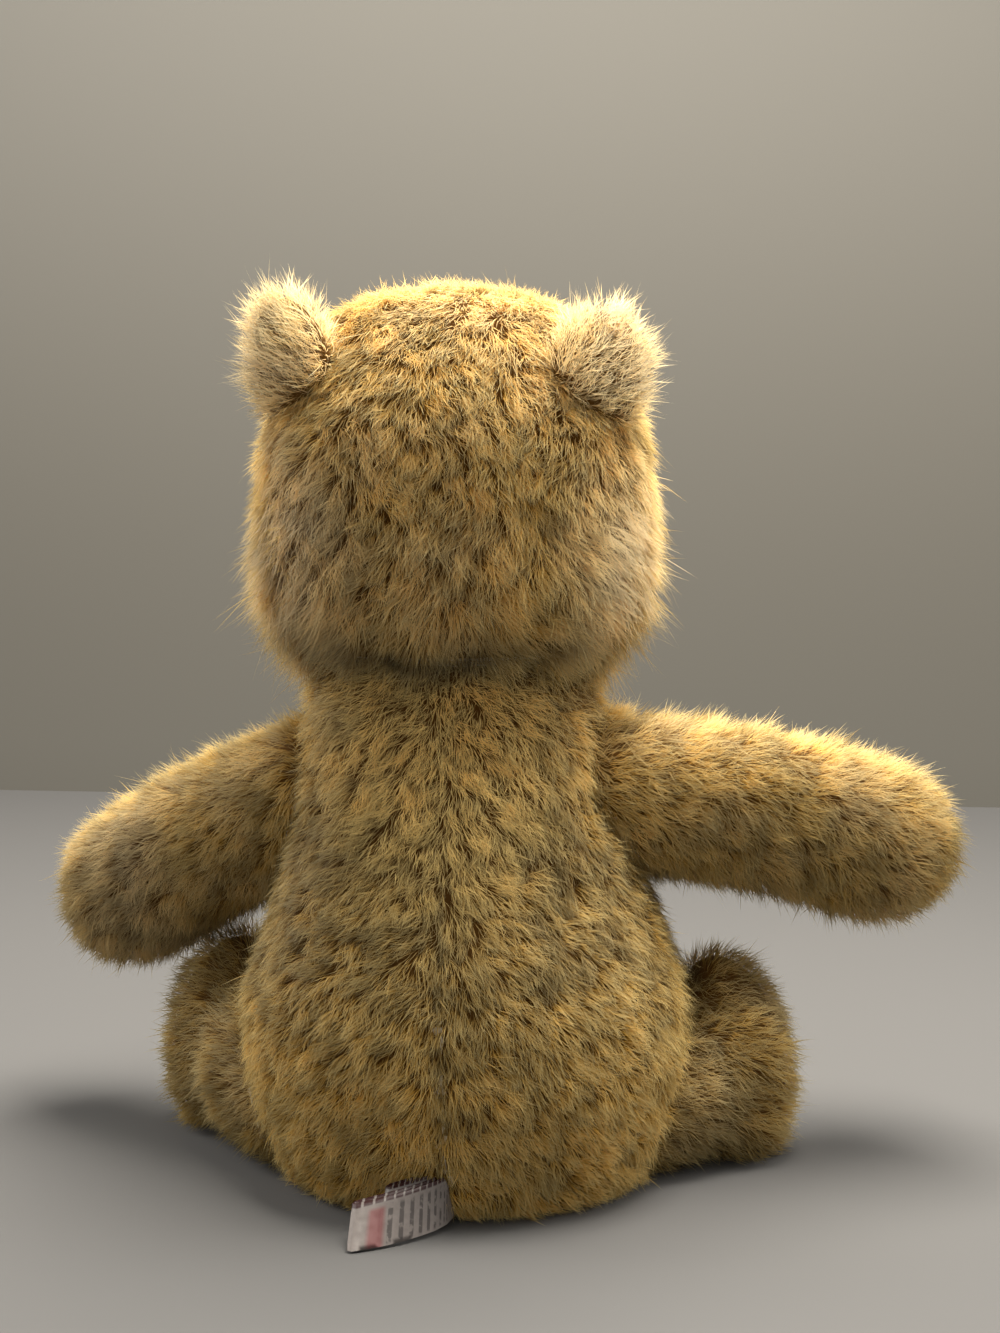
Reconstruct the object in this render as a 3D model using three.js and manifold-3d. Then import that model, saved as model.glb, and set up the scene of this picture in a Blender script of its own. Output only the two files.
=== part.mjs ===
// A seated plush teddy bear with sewn-in limbs. Millimetres, +Z up.
// The bear faces -Y, its own left side is +X, and the origin is the middle of its flat seat.
//
// It is built the way a soft toy is sewn. Each stuffed form (torso, head, arms, legs) is a skin of cut
// plush panels that meet edge to edge at their seams, closed round a body of fibre stuffing. Ears are two
// panels each, the feet are closed by a flat sole, and the eyes are domes on posts that lock washers hold
// from inside the head. Two folded ribbon labels are caught in the centre back seam.
import * as THREE from 'three';
import { mergeVertices } from 'three/addons/utils/BufferGeometryUtils.js';
import Module from 'manifold-3d';

const wasm = await Module();
wasm.setup();

// Cloth: the plush with its pile pressed flat, and the gaps left at seams and between neighbours
const SKIN = 3;
const SEAM_GAP = 0.3;
const CLEAR = 0.3;

// Torso: a pear, widest at the hips, cut flat where it sits and open at the neck seam
const NECK_HEIGHT = 174;
const NECK_RADIUS = 46;
const CHEST_HEIGHT = 112;
const CHEST_RADIUS = 57;
const HIP_HEIGHT = 52;
const HIP_RADIUS = 75;
const SEAT_RADIUS = 61;
const TORSO_DEPTH_SHARE = 0.9;
const SIDE_SEAM_Y = 12;
const NECK_FORWARD = 9;
const NECK_SWAY = 5;

// Head: boxy, with full jowls and cheeks, on the neck seam that it shares with the torso.
// Everything on the head is placed by its rise above that seam.
const JOWL_RISE = 19;
const JOWL_RADIUS = 61;
const CHEEK_RISE = 47;
const CHEEK_RADIUS = 65;
const TEMPLE_RISE = 80;
const TEMPLE_RADIUS = 60;
const HEAD_HEIGHT = 120;
const HEAD_DEPTH_SHARE = 0.9;
const HEAD_FORWARD = 6;
const BOXINESS = 2.35;
const GUSSET_CROWN_HALF = 29;
const GUSSET_NAPE_HALF = 16;
const GUSSET_BROW_HALF = 9;
const CHIN_RISE = 48;

// Muzzle, nose and mouth
const MUZZLE_WIDTH = 62;
const MUZZLE_HEIGHT = 48;
const MUZZLE_LENGTH = 56;
const MUZZLE_SINK = 0.5;
const MUZZLE_RISE = 37;
const NOSE_WIDTH = 23;
const NOSE_HEIGHT = 16;
const NOSE_THICKNESS = 5;
const NOSE_RISE = 48;
const MOUTH_THREAD = 1.8;
const MOUTH_DROP = 9;
const MOUTH_HALF = 10;

// Eyes: a domed button on a post, held by a washer behind the cloth
const EYE_DIAMETER = 15;
const EYE_DOME = 6;
const EYE_APART = 52;
const EYE_RISE = 69;
const EYE_SINK = 1.2;
const POST_DIAMETER = 4;
const POST_LENGTH = 11;
const WASHER_DIAMETER = 12;
const WASHER_THICKNESS = 1.6;
const WASHER_STANDOFF = 0.7;

// Ears: flat rounded flaps at the top back corners of the head, the right one sewn on a little lower
const EAR_WIDTH = 38;
const EAR_HEIGHT = 52;
const EAR_THICKNESS = 15;
const EAR_INSET = 12;
const EAR_BACK = 26;
const EAR_RISE = { left: 92, right: 87 };
const EAR_ROLL = THREE.MathUtils.degToRad(14);
const EAR_YAW = THREE.MathUtils.degToRad(34);

// Arms: each reaches from its shoulder by its own amount, as the sitting bear holds them
const SHOULDER_INSET = 17;
const SHOULDER_DROP = 46;
const ARM_RADIUS = 26;
const PAW_RADIUS = 28;
const ARM_BOW = 5;
const ARM_REACH = {
  left: { out: 105, forward: 60, down: 61 },
  right: { out: 124, forward: 46, down: 31 },
};

// Legs: short and splayed, lying on the floor, each with an upright foot
const HIP_JOINT_INSET = 33;
const HIP_JOINT_SHIFT = 5;
const HIP_JOINT_Y = -6;
const LEG_RADIUS = 34;
const ANKLE_RADIUS = 29;
const LEG_AXIS_HEIGHT = 27;
const LEG_LENGTH = 54;
const LEG_SPLAY = { left: 50, right: 68 };
const FOOT_WIDTH = 50;
const FOOT_HEIGHT = 80;
const FOOT_THICKNESS = 44;
const FOOT_CENTRE_HEIGHT = 31;
const FOOT_TILT = THREE.MathUtils.degToRad(-8);
const SOLE_SETBACK = 6;

// Labels: folded satin ribbon, side by side in the bottom of the centre back seam
const RIBBON = 0.5;
const RIBBON_FOLD = 1.3;
const LABEL_LEAN = THREE.MathUtils.degToRad(42);
const CARE_LABEL = { seam: -1.6, out: 27, back: 22, width: 15, height: 9, fall: 4 };
const SIZE_LABEL = { seam: 1.6, out: 15, back: 9, width: 10, height: 13, fall: 3 };

// Fineness of the faceted forms
const FORM_RINGS = 16;
const FORM_SIDES = 24;
const LIMB_RINGS = 8;
const LIMB_SIDES = 12;
const TRIM_SIDES = 14;
const WELD = 1e-3;
const FAR = 600;

const UP = new THREE.Vector3(0, 0, 1);
const FORWARD = new THREE.Vector3(0, -1, 0);
const SIDES = { left: 1, right: -1 };

const cloth = {
  plush: { color: 0xa98a58, roughness: 0.95 },
  earPlush: { color: 0xa08763, roughness: 0.95 },
  sole: { color: 0xb39a70, roughness: 0.9 },
  muzzlePlush: { color: 0xc2a878, roughness: 0.92 },
  stuffing: { color: 0xf1eee6, roughness: 1 },
  thread: { color: 0x2a1c14, roughness: 0.7 },
  ribbon: { color: 0xe6e2dc, roughness: 0.55 },
  eye: { color: 0x140d09, roughness: 0.12 },
  washer: { color: 0xe9e9e4, roughness: 0.4 },
};

const bear = new THREE.Group();

// Geometry helpers

/** A geometry with only positions, its shared vertices merged and its collapsed triangles dropped. */
function welded(geometry) {
  const bare = new THREE.BufferGeometry();
  bare.setAttribute('position', geometry.getAttribute('position').clone());
  bare.setIndex(geometry.index);
  const merged = mergeVertices(bare, WELD);
  const corners = merged.index.array;
  const kept = [];
  for (let i = 0; i < corners.length; i += 3) {
    const [a, b, c] = corners.slice(i, i + 3);
    if (a !== b && b !== c && c !== a) kept.push(a, b, c);
  }
  return merged.setIndex(kept);
}

/** The closed solid of a geometry, ready to be cut or joined. */
function solidOf(geometry) {
  const shape = welded(geometry);
  return new wasm.Manifold(
    new wasm.Mesh({
      numProp: 3,
      vertProperties: shape.getAttribute('position').array,
      triVerts: new Uint32Array(shape.index.array),
    }),
  );
}

/** A smooth form grown (or shrunk, if negative) by a distance along its own normals. */
function swollen(geometry, distance) {
  const shape = welded(geometry);
  shape.computeVertexNormals();
  const place = shape.getAttribute('position');
  const normal = shape.getAttribute('normal');
  for (let i = 0; i < place.count; i++) {
    place.setXYZ(
      i,
      place.getX(i) + normal.getX(i) * distance,
      place.getY(i) + normal.getY(i) * distance,
      place.getZ(i) + normal.getZ(i) * distance,
    );
  }
  return shape;
}

/** All of space on the side of a plane that its normal points to. */
function halfSpace(point, normal) {
  const box = new THREE.BoxGeometry(FAR, FAR, FAR).translate(0, 0, FAR / 2);
  box.applyQuaternion(new THREE.Quaternion().setFromUnitVectors(UP, normal));
  return solidOf(box.translate(point.x, point.y, point.z));
}

/** The two panels that a seam plane cuts a skin into, a seam's gap apart: first the one its normal faces. */
function panels(skin, point, normal) {
  const step = normal.clone().multiplyScalar(SEAM_GAP / 2);
  const near = halfSpace(point.clone().add(step), normal);
  const far = halfSpace(point.clone().sub(step), normal.clone().negate());
  return [skin.intersect(near), skin.intersect(far)];
}

/** The space above a level floor. */
function above(height) {
  return halfSpace(new THREE.Vector3(0, 0, height), UP);
}

/** The space below a level ceiling. */
function below(height) {
  return halfSpace(new THREE.Vector3(0, 0, height), UP.clone().negate());
}

/** The largest body of a cut solid, without the slivers that a cut can leave. */
function largest(solid) {
  return solid.decompose().sort((a, b) => b.volume() - a.volume())[0];
}

/** Adds a solid to the bear as a named piece. */
function piece(name, solid, finish) {
  const mesh = largest(solid).getMesh();
  const geometry = new THREE.BufferGeometry();
  geometry.setAttribute('position', new THREE.BufferAttribute(mesh.vertProperties, 3));
  geometry.setIndex(new THREE.BufferAttribute(mesh.triVerts, 1));
  geometry.computeVertexNormals();
  const made = new THREE.Mesh(geometry, new THREE.MeshStandardMaterial({ metalness: 0, ...finish }));
  made.name = name;
  bear.add(made);
}

/** Adds a piece of the head, which is built over the origin, where the neck carries it. */
function headPiece(name, solid, finish) {
  piece(name, solid.translate([NECK_SWAY, -NECK_FORWARD, 0]), finish);
}

/** Where a ray meets a form from outside, with the outward normal there. */
function onSurface(geometry, from, towards) {
  const target = new THREE.Mesh(welded(geometry), new THREE.MeshBasicMaterial());
  const [hit] = new THREE.Raycaster(from, towards.clone().normalize()).intersectObject(target);
  return { point: hit.point, normal: hit.face.normal };
}

/** Turns a geometry from +Z to a direction and moves it to a point. */
function stoodOn(geometry, point, direction) {
  geometry.applyQuaternion(new THREE.Quaternion().setFromUnitVectors(UP, direction));
  return geometry.translate(point.x, point.y, point.z);
}

/** A revolved form with a rounded-square section, from an outline of [radius, height] points. */
function stuffedForm(outline, depthShare, boxiness) {
  const curve = new THREE.SplineCurve(outline.map(([radius, z]) => new THREE.Vector2(radius, z)));
  const points = curve.getSpacedPoints(FORM_RINGS).map((p) => new THREE.Vector2(Math.max(p.x, 0), p.y));
  const form = new THREE.LatheGeometry(points, FORM_SIDES).rotateX(Math.PI / 2);
  const place = form.getAttribute('position');
  for (let i = 0; i < place.count; i++) {
    const angle = Math.atan2(place.getY(i), place.getX(i));
    const power = Math.abs(Math.cos(angle)) ** boxiness + Math.abs(Math.sin(angle)) ** boxiness;
    const grow = power ** (-1 / boxiness);
    place.setXY(i, place.getX(i) * grow, place.getY(i) * grow * depthShare);
  }
  return form;
}

/** A rounded limb along a spine, closed at both ends, with a radius given for each share of its length. */
function limbForm(spine, radiusAt) {
  const places = [];
  const corners = [];
  const addRing = (share, radius) => {
    const centre = spine.getPointAt(share);
    const along = spine.getTangentAt(share);
    const across = along.clone().cross(UP).normalize();
    const over = across.clone().cross(along);
    for (let side = 0; side < LIMB_SIDES; side++) {
      const angle = (side / LIMB_SIDES) * 2 * Math.PI;
      const rim = centre.clone().addScaledVector(across, Math.cos(angle) * radius);
      places.push(...rim.addScaledVector(over, Math.sin(angle) * radius).toArray());
    }
  };
  addRing(0, 0);
  for (let ring = 0; ring <= LIMB_RINGS; ring++) {
    const share = Math.sin(((ring / LIMB_RINGS) * Math.PI) / 2);
    addRing(share, radiusAt(share));
  }
  for (let ring = 0; ring <= LIMB_RINGS; ring++) {
    for (let side = 0; side < LIMB_SIDES; side++) {
      const a = ring * LIMB_SIDES + side;
      const b = ring * LIMB_SIDES + ((side + 1) % LIMB_SIDES);
      corners.push(a, a + LIMB_SIDES, b, b, a + LIMB_SIDES, b + LIMB_SIDES);
    }
  }
  const form = new THREE.BufferGeometry();
  form.setAttribute('position', new THREE.Float32BufferAttribute(places, 3));
  return form.setIndex(corners);
}

/** A limb's radius along its length: a straight taper that ends in a round tip. */
function roundedTaper(rootRadius, tipRadius, length) {
  const tipShare = tipRadius / length;
  return (share) => {
    const radius = THREE.MathUtils.lerp(rootRadius, tipRadius, share);
    const intoTip = Math.max(0, (share - (1 - tipShare)) / tipShare);
    return radius * Math.sqrt(Math.max(0, 1 - intoTip ** 2));
  };
}

// Torso: two back panels that meet at the centre back seam, one belly panel, and the stuffing

const torsoForm = stuffedForm(
  [
    [0, -30],
    [SEAT_RADIUS * 0.62, -24],
    [SEAT_RADIUS, 0],
    [HIP_RADIUS, HIP_HEIGHT],
    [CHEST_RADIUS, CHEST_HEIGHT],
    [NECK_RADIUS, NECK_HEIGHT],
    [NECK_RADIUS * 0.8, NECK_HEIGHT + 24],
    [0, NECK_HEIGHT + 34],
  ],
  TORSO_DEPTH_SHARE,
  2,
);
const torsoPlace = torsoForm.getAttribute('position');
for (let i = 0; i < torsoPlace.count; i++) {
  const rise = THREE.MathUtils.smoothstep(torsoPlace.getZ(i), HIP_HEIGHT, NECK_HEIGHT);
  torsoPlace.setX(i, torsoPlace.getX(i) + NECK_SWAY * rise);
  torsoPlace.setY(i, torsoPlace.getY(i) - NECK_FORWARD * rise);
}
const torsoKeepOut = solidOf(swollen(torsoForm, CLEAR));

function addTorso() {
  const seam = below(NECK_HEIGHT - SEAM_GAP / 2);
  const outside = solidOf(torsoForm).intersect(above(0)).intersect(seam);
  const hollow = solidOf(swollen(torsoForm, -SKIN)).intersect(above(SKIN));
  const filling = solidOf(swollen(torsoForm, -SKIN - CLEAR)).intersect(above(SKIN + CLEAR));
  const skin = outside.subtract(hollow);

  const sideSeam = new THREE.Vector3(0, SIDE_SEAM_Y, 0);
  const [belly, back] = panels(skin, sideSeam, FORWARD);
  const [backLeft, backRight] = panels(back, sideSeam, new THREE.Vector3(1, 0, 0));
  piece('torso_belly', belly, cloth.plush);
  piece('torso_back_left', backLeft, cloth.plush);
  piece('torso_back_right', backRight, cloth.plush);
  piece('torso_stuffing', filling.intersect(seam), cloth.stuffing);
}

// Head: two side panels, a gusset from brow to nape, and the stuffing

const headForm = stuffedForm(
  [
    [0, NECK_HEIGHT - 40],
    [NECK_RADIUS * 0.75, NECK_HEIGHT - 26],
    [NECK_RADIUS, NECK_HEIGHT],
    [JOWL_RADIUS, NECK_HEIGHT + JOWL_RISE],
    [CHEEK_RADIUS, NECK_HEIGHT + CHEEK_RISE],
    [TEMPLE_RADIUS, NECK_HEIGHT + TEMPLE_RISE],
    [TEMPLE_RADIUS * 0.64, NECK_HEIGHT + HEAD_HEIGHT - 8],
    [0, NECK_HEIGHT + HEAD_HEIGHT],
  ],
  HEAD_DEPTH_SHARE,
  BOXINESS,
);
const headPlace = headForm.getAttribute('position');
for (let i = 0; i < headPlace.count; i++) {
  const rise = THREE.MathUtils.smoothstep(headPlace.getZ(i) - NECK_HEIGHT, 0, CHEEK_RISE);
  headPlace.setY(i, headPlace.getY(i) - HEAD_FORWARD * rise);
}
const headKeepOut = solidOf(swollen(headForm, CLEAR));

/** The strip of space over the gusset, grown by a gap: narrow at the brow and nape, wide at the crown. */
function gussetSpace(grow) {
  const reach = CHEEK_RADIUS * 1.15;
  const bulge = 2 * GUSSET_CROWN_HALF - (GUSSET_NAPE_HALF + GUSSET_BROW_HALF) / 2 + grow;
  const plan = new THREE.Shape();
  plan.moveTo(-GUSSET_NAPE_HALF - grow, reach);
  plan.quadraticCurveTo(-bulge, 0, -GUSSET_BROW_HALF - grow, -reach);
  plan.lineTo(GUSSET_BROW_HALF + grow, -reach);
  plan.quadraticCurveTo(bulge, 0, GUSSET_NAPE_HALF + grow, reach);
  const strip = new THREE.ExtrudeGeometry(plan, { depth: FAR, bevelEnabled: false, curveSegments: 10 });
  const front = halfSpace(new THREE.Vector3(0, -HEAD_FORWARD, 0), FORWARD);
  return solidOf(strip).subtract(front.intersect(below(NECK_HEIGHT + CHIN_RISE - grow)));
}

/** An eye's button and post, standing on +Z, grown by a gap. */
function eyeForm(grow) {
  const radius = EYE_DIAMETER / 2 + grow;
  const post = POST_DIAMETER / 2 + grow;
  const outline = new THREE.Path();
  outline.moveTo(0, -POST_LENGTH - grow);
  outline.lineTo(post, -POST_LENGTH - grow);
  outline.lineTo(post, -grow);
  outline.lineTo(radius, -grow);
  outline.quadraticCurveTo(radius, EYE_DOME + grow, 0, EYE_DOME + grow);
  return new THREE.LatheGeometry(outline.getPoints(6), TRIM_SIDES).rotateX(Math.PI / 2);
}

/** A lock washer round the post, just behind the cloth, grown by a gap and bored for the post. */
function washerForm(grow, bore) {
  const top = EYE_SINK - SKIN - CLEAR - WASHER_STANDOFF + grow;
  const bottom = top - WASHER_THICKNESS - 2 * grow;
  const rim = WASHER_DIAMETER / 2 + grow;
  const ring = [
    [bore, bottom],
    [rim, bottom],
    [rim, top],
    [bore, top],
    [bore, bottom],
  ];
  const points = ring.map(([radius, z]) => new THREE.Vector2(radius, z));
  return new THREE.LatheGeometry(points, TRIM_SIDES).rotateX(Math.PI / 2);
}

function addHead() {
  const seam = above(NECK_HEIGHT + SEAM_GAP / 2);
  let skin = solidOf(headForm).intersect(seam).subtract(solidOf(swollen(headForm, -SKIN)));
  let filling = solidOf(swollen(headForm, -SKIN - CLEAR)).intersect(seam);

  for (const [name, side] of Object.entries(SIDES)) {
    const from = new THREE.Vector3((side * EYE_APART) / 2, -FAR, NECK_HEIGHT + EYE_RISE);
    const { point, normal } = onSurface(headForm, from, FORWARD.clone().negate());
    const seat = point.addScaledVector(normal, -EYE_SINK);
    const placed = (form) => solidOf(stoodOn(form, seat, normal));
    const recess = placed(eyeForm(CLEAR)).add(placed(washerForm(CLEAR, 0)));
    skin = skin.subtract(recess);
    filling = filling.subtract(recess);
    headPiece(`eye_${name}`, placed(eyeForm(0)), cloth.eye);
    headPiece(`eye_washer_${name}`, placed(washerForm(0, POST_DIAMETER / 2 + CLEAR)), cloth.washer);
  }

  const flanks = skin.subtract(gussetSpace(SEAM_GAP));
  const [left, right] = panels(flanks, new THREE.Vector3(), new THREE.Vector3(1, 0, 0));
  headPiece('head_side_left', left, cloth.plush);
  headPiece('head_side_right', right, cloth.plush);
  headPiece('head_gusset', skin.intersect(gussetSpace(0)), cloth.plush);
  headPiece('head_stuffing', filling, cloth.stuffing);
}

// Muzzle with its stitched nose and mouth

const muzzleForm = new THREE.SphereGeometry(1, 18, 12)
  .scale(MUZZLE_WIDTH / 2, MUZZLE_LENGTH / 2, MUZZLE_HEIGHT / 2)
  .translate(0, MUZZLE_SINK - CHEEK_RADIUS * HEAD_DEPTH_SHARE, NECK_HEIGHT + MUZZLE_RISE);
const muzzleKeepOut = solidOf(swollen(muzzleForm, CLEAR));

/** The point of the muzzle straight in front of a place on the face, with the outward normal there. */
function onMuzzle(x, z) {
  return onSurface(muzzleForm, new THREE.Vector3(x, -FAR, z), FORWARD.clone().negate());
}

/** A rounded triangular pad, standing on +Z with its point towards -X. */
function nosePad() {
  const half = NOSE_WIDTH / 2;
  const shape = new THREE.Shape();
  shape.moveTo(-NOSE_HEIGHT / 2, 0);
  shape.quadraticCurveTo(-NOSE_HEIGHT / 3, half * 0.75, NOSE_HEIGHT / 4, half);
  shape.quadraticCurveTo(NOSE_HEIGHT * 0.62, half * 0.9, NOSE_HEIGHT / 2, 0);
  shape.quadraticCurveTo(NOSE_HEIGHT * 0.62, -half * 0.9, NOSE_HEIGHT / 4, -half);
  shape.quadraticCurveTo(-NOSE_HEIGHT / 3, -half * 0.75, -NOSE_HEIGHT / 2, 0);
  const round = NOSE_THICKNESS / 4;
  return new THREE.ExtrudeGeometry(shape, {
    depth: NOSE_THICKNESS,
    bevelThickness: round,
    bevelSize: round,
    bevelOffset: -round,
    bevelSegments: 2,
    curveSegments: 5,
  });
}

/** A stitch of mouth thread laid over the muzzle through places on the face. */
function mouthStitch(places) {
  const lift = MOUTH_THREAD / 4;
  const route = places.map(([x, z]) => {
    const { point, normal } = onMuzzle(x, z);
    return point.addScaledVector(normal, lift);
  });
  const section = new THREE.Shape().absarc(0, 0, MOUTH_THREAD / 2, 0, 2 * Math.PI);
  const extrudePath = new THREE.CatmullRomCurve3(route);
  const tube = new THREE.ExtrudeGeometry(section, { steps: 8, curveSegments: 4, extrudePath });
  return solidOf(tube);
}

function addMuzzle() {
  headPiece('muzzle', solidOf(muzzleForm).subtract(headKeepOut), cloth.muzzlePlush);

  const noseHeight = NECK_HEIGHT + NOSE_RISE;
  const { point, normal } = onMuzzle(0, noseHeight);
  const upright = nosePad().rotateZ(Math.PI / 2);
  upright.applyMatrix4(new THREE.Matrix4().lookAt(normal, new THREE.Vector3(), UP));
  upright.translate(...point.addScaledVector(normal, -NOSE_THICKNESS / 2).toArray());
  const nose = solidOf(upright).subtract(muzzleKeepOut);
  headPiece('nose', nose, cloth.thread);

  const lipTop = noseHeight - NOSE_HEIGHT / 2 - MOUTH_THREAD;
  const lip = lipTop - MOUTH_DROP;
  let mouth = mouthStitch([
    [0, lipTop],
    [0, (lipTop + lip) / 2],
    [0, lip],
  ]);
  for (const side of Object.values(SIDES)) {
    const smile = mouthStitch([
      [0, lip + MOUTH_THREAD / 4],
      [side * MOUTH_HALF * 0.5, lip - MOUTH_THREAD],
      [side * MOUTH_HALF, lip],
    ]);
    mouth = mouth.add(smile);
  }
  headPiece('mouth_stitching', mouth.subtract(muzzleKeepOut).subtract(nose), cloth.thread);
}

// Ears: a front and a back panel each, cut to the head they are sewn to

function addEar(name, side) {
  const out = TEMPLE_RADIUS - EAR_INSET;
  const middle = new THREE.Vector3(side * out, EAR_BACK, NECK_HEIGHT + EAR_RISE[name]);
  const form = new THREE.SphereGeometry(1, 14, 9)
    .scale(EAR_WIDTH / 2, EAR_THICKNESS / 2, EAR_HEIGHT / 2)
    .rotateZ(-side * EAR_YAW)
    .rotateY(side * EAR_ROLL)
    .translate(middle.x, middle.y, middle.z);
  const ear = solidOf(form).subtract(headKeepOut);
  const facing = FORWARD.clone().applyAxisAngle(UP, -side * EAR_YAW);
  const [front, back] = panels(ear, middle, facing);
  headPiece(`ear_${name}_front`, front, cloth.earPlush);
  headPiece(`ear_${name}_back`, back, cloth.earPlush);
}

// Arms: an inner and an outer panel round stuffing, sewn to the side of the torso

function addArm(name, side) {
  const shoulder = new THREE.Vector3(
    NECK_SWAY / 2 + side * (CHEST_RADIUS - SHOULDER_INSET),
    -NECK_FORWARD,
    NECK_HEIGHT - SHOULDER_DROP,
  );
  const { out, forward, down } = ARM_REACH[name];
  const tip = shoulder.clone().add(new THREE.Vector3(side * out, -forward, -down));
  const middle = shoulder.clone().lerp(tip, 0.5).addScaledVector(UP, ARM_BOW);
  const spine = new THREE.CatmullRomCurve3([shoulder, middle, tip]);
  const form = limbForm(spine, roundedTaper(ARM_RADIUS, PAW_RADIUS, spine.getLength()));

  const skin = solidOf(form).subtract(solidOf(swollen(form, -SKIN))).subtract(torsoKeepOut);
  const filling = solidOf(swollen(form, -SKIN - CLEAR)).subtract(torsoKeepOut);
  const reach = tip.clone().sub(shoulder);
  const facing = UP.clone().cross(reach).multiplyScalar(side).normalize();
  const [outer, inner] = panels(skin, middle, facing);
  piece(`arm_${name}_outer`, outer, cloth.plush);
  piece(`arm_${name}_inner`, inner, cloth.plush);
  piece(`arm_${name}_stuffing`, filling, cloth.stuffing);
}

// Legs: an inner and an outer panel and a flat sole round stuffing, sewn to the hip

function addLeg(name, side) {
  const splay = side * THREE.MathUtils.degToRad(LEG_SPLAY[name]);
  const heading = FORWARD.clone().applyAxisAngle(UP, splay);
  const out = HIP_JOINT_SHIFT + side * (HIP_RADIUS - HIP_JOINT_INSET);
  const hip = new THREE.Vector3(out, HIP_JOINT_Y, LEG_AXIS_HEIGHT);
  const ankle = hip.clone().addScaledVector(heading, LEG_LENGTH);
  const spine = new THREE.LineCurve3(hip, ankle);
  const legForm = limbForm(spine, roundedTaper(LEG_RADIUS, ANKLE_RADIUS, LEG_LENGTH));
  const footForm = new THREE.SphereGeometry(1, 14, 10)
    .scale(FOOT_WIDTH / 2, FOOT_THICKNESS / 2, FOOT_HEIGHT / 2)
    .rotateX(FOOT_TILT)
    .rotateZ(splay)
    .translate(ankle.x, ankle.y, FOOT_CENTRE_HEIGHT);

  const solePoint = ankle.clone().addScaledVector(heading, FOOT_THICKNESS / 2 - SOLE_SETBACK);
  const behindSole = halfSpace(solePoint, heading.clone().negate());
  const joined = (grow) =>
    solidOf(swollen(legForm, grow)).add(solidOf(swollen(footForm, grow)));
  const outside = joined(0).intersect(above(0)).intersect(behindSole);
  const hollow = joined(-SKIN).intersect(above(SKIN));
  const skin = outside.subtract(hollow).subtract(torsoKeepOut);
  const filling = joined(-SKIN - CLEAR).intersect(above(SKIN + CLEAR)).intersect(behindSole);

  const facing = UP.clone().cross(heading).multiplyScalar(side);
  const [outer, inner] = panels(skin, hip, facing);
  const soleBack = solePoint.clone().addScaledVector(heading, CLEAR);
  const soleFront = soleBack.clone().addScaledVector(heading, SKIN);
  const slice = halfSpace(soleBack, heading).intersect(halfSpace(soleFront, heading.clone().negate()));
  piece(`leg_${name}_outer`, outer, cloth.plush);
  piece(`leg_${name}_inner`, inner, cloth.plush);
  piece(`leg_${name}_sole`, solidOf(footForm).intersect(above(0)).intersect(slice), cloth.sole);
  piece(`leg_${name}_stuffing`, filling.subtract(torsoKeepOut), cloth.stuffing);
}

// Labels: a hairpin of ribbon that leaves the seam upright, swings aside and leans back as it falls

/** The plan of a folded ribbon along a curve: two plies, closed at the far end by the fold. */
function hairpin(curve) {
  const steps = 7;
  const shape = new THREE.Shape();
  const offset = (share, distance) => {
    const along = curve.getTangentAt(share);
    return curve.getPointAt(share).add(new THREE.Vector2(-along.y, along.x).multiplyScalar(distance));
  };
  const shares = Array.from({ length: steps + 1 }, (_, i) => i / steps);
  const fold = (reach) => curve.getPointAt(1).addScaledVector(curve.getTangentAt(1), reach);
  const inside = RIBBON_FOLD - RIBBON;
  const outline = [
    ...shares.map((share) => offset(share, -RIBBON_FOLD)),
    fold(RIBBON_FOLD),
    ...shares.map((share) => offset(1 - share, RIBBON_FOLD)),
    ...shares.map((share) => offset(share, inside)),
    fold(inside),
    ...shares.map((share) => offset(1 - share, -inside)),
  ];
  return shape.setFromPoints(outline);
}

function addLabel(name, { seam, out, back, width, height, fall }) {
  const { point } = onSurface(torsoForm, new THREE.Vector3(0, FAR, height), FORWARD);
  const root = new THREE.Vector2(seam, point.y - SKIN);
  const bend = new THREE.Vector2(seam, root.y + back / 2);
  const tip = new THREE.Vector2(seam + out, root.y + back);
  const curve = new THREE.QuadraticBezierCurve(root, bend, tip);
  const ribbon = new THREE.ExtrudeGeometry(hairpin(curve), { depth: width, steps: 3, bevelEnabled: false });
  const place = ribbon.getAttribute('position');
  const plan = new THREE.Vector2();
  for (let i = 0; i < place.count; i++) {
    const share = plan.set(place.getX(i), place.getY(i)).distanceTo(root) / tip.distanceTo(root);
    const rise = place.getZ(i) - width / 2;
    place.setY(i, place.getY(i) - rise * Math.sin(LABEL_LEAN * share));
    place.setZ(i, height - fall * share + rise * Math.cos(LABEL_LEAN * share));
  }
  ribbon.computeBoundingBox();
  ribbon.translate(0, 0, Math.max(0, CLEAR - ribbon.boundingBox.min.z));
  piece(name, solidOf(ribbon).subtract(torsoKeepOut), cloth.ribbon);
}

addTorso();
addHead();
addMuzzle();
for (const [name, side] of Object.entries(SIDES)) {
  addEar(name, side);
  addArm(name, side);
  addLeg(name, side);
}
addLabel('care_label', CARE_LABEL);
addLabel('size_label', SIZE_LABEL);

export default bear;
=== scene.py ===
# %% [markdown]
# # A worn plush bear, seen from behind
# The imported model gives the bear's sewn panels, its stuffing and its small hard pieces at their real
# size. This script dresses them: each stuffed form gets a swollen cloth cover, the covers grow their
# pile strand by strand, and the face and the ribbon labels are sewn on.
# It works in metres, with +Z up, the bear facing -Y and its own left side at +X.

# %% Load the fixed frame
import math

import bpy
import numpy as np
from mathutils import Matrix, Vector
from mathutils.bvhtree import BVHTree


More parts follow.
